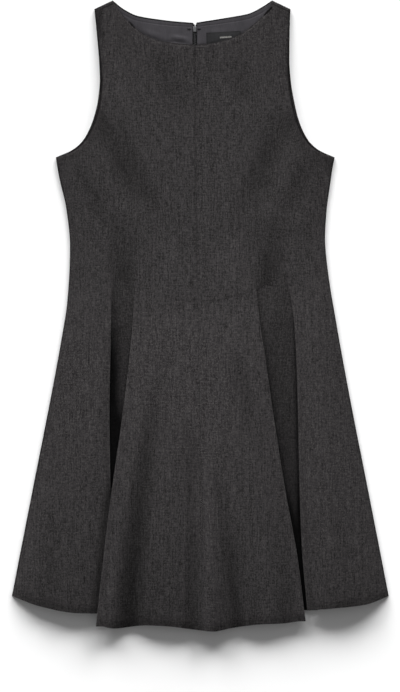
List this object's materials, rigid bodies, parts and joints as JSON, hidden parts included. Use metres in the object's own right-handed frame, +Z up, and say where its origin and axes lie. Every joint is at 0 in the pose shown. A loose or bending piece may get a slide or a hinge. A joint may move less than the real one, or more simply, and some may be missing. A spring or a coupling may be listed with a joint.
{
  "type": "sleeveless fit-and-flare dress",
  "caption": "Sleeveless boat-neck dress laid flat on its back, with a waist seam that dips to a point, a flared skirt with deep side folds and a concealed back zip.",
  "frame": {"origin": "on the surface the dress lies on, under the middle of its whole outline", "axes": "+Y towards the shoulders, +X to the right of someone who looks down at the front with the shoulders away from them, +Z up through the cloth"},
  "size_m": [0.565, 0.9454, 0.0275],
  "materials": {
    "wool": "matt charcoal wool cloth with a fine mottled grain",
    "lining_satin": "soft slate satin lining",
    "label_weave": "dark woven label with a plain pale bar",
    "zip_tape": "dark woven zip tape and nylon coil",
    "zip_enamel": "grey enamelled metal, half gloss"
  },
  "bodies": {
    "dress": {"bodice_front_centre_left": "wool", "bodice_front_centre_right": "wool", "bodice_front_side_left": "wool", "bodice_front_side_right": "wool", "skirt_front_centre_left": "wool", "skirt_front_centre_right": "wool", "skirt_front_side_left": "wool", "skirt_front_side_right": "wool", "bodice_back_left": "wool", "bodice_back_right": "wool", "skirt_back_left": "wool", "skirt_back_right": "wool", "lining_back_left": "lining_satin", "lining_back_right": "lining_satin", "label": "label_weave", "zip_chain": "zip_tape", "zip_slider": "zip_enamel"},
    "zip_pull": {"zip_pull": "zip_enamel"}
  },
  "joints": [
    {"name": "zip_pull_hinge", "type": "hinge", "parent": "dress", "child": "zip_pull", "pos_m": [-0.00827, 0.43, 0.0015], "axis": [1, 0, 0], "range_deg": [0, 170]}
  ]
}
